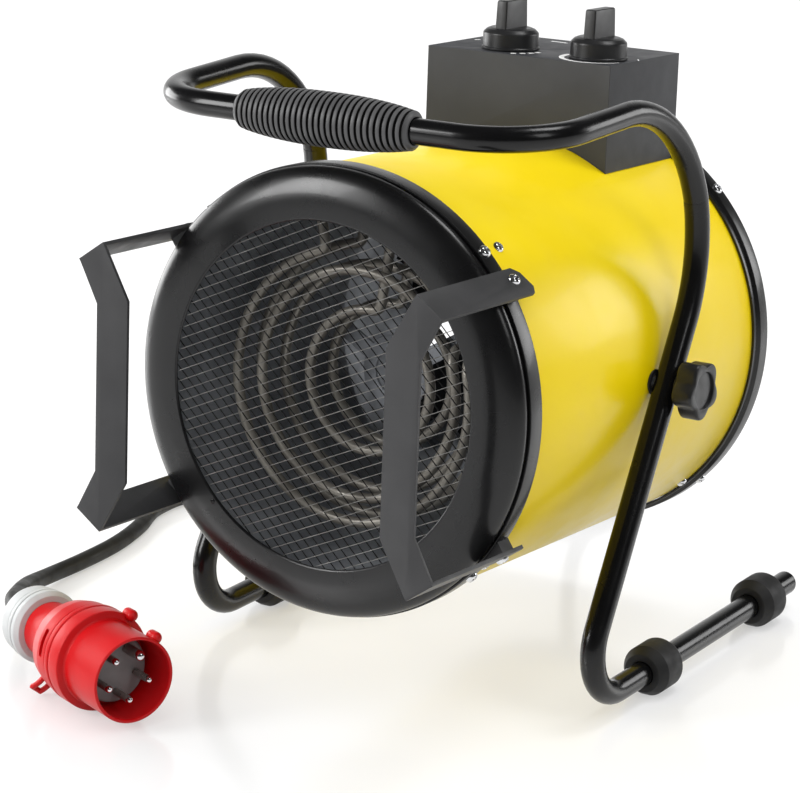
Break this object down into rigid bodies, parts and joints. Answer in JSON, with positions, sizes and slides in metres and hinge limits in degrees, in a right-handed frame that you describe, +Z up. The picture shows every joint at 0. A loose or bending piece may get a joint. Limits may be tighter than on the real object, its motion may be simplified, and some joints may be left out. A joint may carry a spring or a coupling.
{
  "type": "forced air heater",
  "caption": "Portable forced air heater: yellow drum tilting on a bent tube carrying stand, outlet guards, top control box with rotary knobs, and a cord with a red pin plug.",
  "frame": {"origin": "centre of the heater's bounding box without the cord and plug, on the floor", "axes": "+Z up from the floor; -Y is the outlet side that the hot air leaves from; +X is to the right seen from behind the heater looking out of the outlet"},
  "size_m": [0.545, 0.6807, 0.4477],
  "materials": {
    "yellow_paint": "smooth gloss powder coat",
    "black_gloss_paint": "smooth gloss enamel",
    "black_satin_paint": "satin powder coat",
    "bright_steel": "plain zinc plated steel",
    "chrome_plate": "bright chrome plate",
    "black_rubber": "matte moulded rubber",
    "black_plastic": "satin moulded plastic",
    "duct_steel": "heat darkened steel",
    "element_sheath": "heat browned steel sheath",
    "red_plastic": "glossy moulded plastic",
    "grey_plastic": "satin moulded plastic",
    "insert_plastic": "satin moulded plastic"
  },
  "bodies": {
    "stand": {"handle_frame": "black_gloss_paint", "grip_sleeve": "black_rubber", "foot_cap_front_right": "black_rubber", "foot_cap_rear_right": "black_rubber", "tube_end_plug_right": "black_plastic", "foot_cap_front_left": "black_rubber", "foot_cap_rear_left": "black_rubber", "tube_end_plug_left": "black_plastic", "cord_coil": "black_rubber", "cord_rise": "black_rubber", "cord_run": "black_rubber", "plug_gland_nut": "grey_plastic", "plug_body": "red_plastic", "plug_insert": "insert_plastic"},
    "drum": {"drum_shell": "yellow_paint", "front_bezel": "black_gloss_paint", "front_band": "black_gloss_paint", "rear_band": "black_gloss_paint", "front_mesh": "bright_steel", "inner_duct": "duct_steel", "duct_flange_front": "duct_steel", "duct_flange_rear": "duct_steel", "heating_element_1": "element_sheath", "heating_element_2": "element_sheath", "heating_element_3": "element_sheath", "element_support": "bright_steel", "fan_motor": "bright_steel", "motor_bracket": "bright_steel", "rear_grille": "black_satin_paint", "band_screw_upper_right": "chrome_plate", "band_screw_lower_right": "chrome_plate", "band_screw_upper_left": "chrome_plate", "band_screw_lower_left": "chrome_plate", "guard_screw_upper_right": "chrome_plate", "guard_screw_lower_right": "chrome_plate", "guard_screw_upper_left": "chrome_plate", "guard_screw_lower_left": "chrome_plate", "front_guard_right": "black_satin_paint", "front_guard_left": "black_satin_paint", "pivot_spacer_right": "black_plastic", "pivot_nut_right": "bright_steel", "pivot_spacer_left": "black_plastic", "pivot_nut_left": "bright_steel", "control_box": "black_satin_paint", "switch_body": "black_plastic", "thermostat_body": "black_plastic", "terminal_block": "grey_plastic", "cable_gland": "black_plastic", "strain_relief": "black_rubber"},
    "fan": {"fan_rotor": "black_satin_paint"},
    "hand_knob_right": {"hand_knob_right": "black_plastic", "hand_knob_stud_right": "bright_steel"},
    "hand_knob_left": {"hand_knob_left": "black_plastic", "hand_knob_stud_left": "bright_steel"},
    "switch_knob": {"switch_knob": "black_plastic", "switch_shaft": "bright_steel"},
    "thermostat_knob": {"thermostat_knob": "black_plastic", "thermostat_shaft": "bright_steel"}
  },
  "joints": [
    {"name": "drum_tilt", "type": "hinge", "parent": "stand", "child": "drum", "pos_m": [0, 0.02667, 0.2149], "axis": [1, 0, 0], "range_deg": [-18, 12], "deforming": ["cord_rise"]},
    {"name": "fan_spin", "type": "hinge", "parent": "drum", "child": "fan", "pos_m": [0, 0.09504, 0.21067], "axis": [0, 0.9981, -0.0618], "continuous": true},
    {"name": "hand_knob_right_turn", "type": "hinge", "parent": "drum", "child": "hand_knob_right", "pos_m": [0.178, 0.02667, 0.2149], "axis": [1, 0, 0], "range_deg": [0, 360]},
    {"name": "hand_knob_left_turn", "type": "hinge", "parent": "drum", "child": "hand_knob_left", "pos_m": [-0.178, 0.02667, 0.2149], "axis": [-1, 0, 0], "range_deg": [0, 360]},
    {"name": "switch_turn", "type": "hinge", "parent": "drum", "child": "switch_knob", "pos_m": [-0.0212, 0.11452, 0.41215], "axis": [0, 0.0618, 0.9981], "range_deg": [-135, 0]},
    {"name": "thermostat_turn", "type": "hinge", "parent": "drum", "child": "thermostat_knob", "pos_m": [0.05, 0.11452, 0.41215], "axis": [0, 0.0618, 0.9981], "range_deg": [-135, 135]}
  ]
}
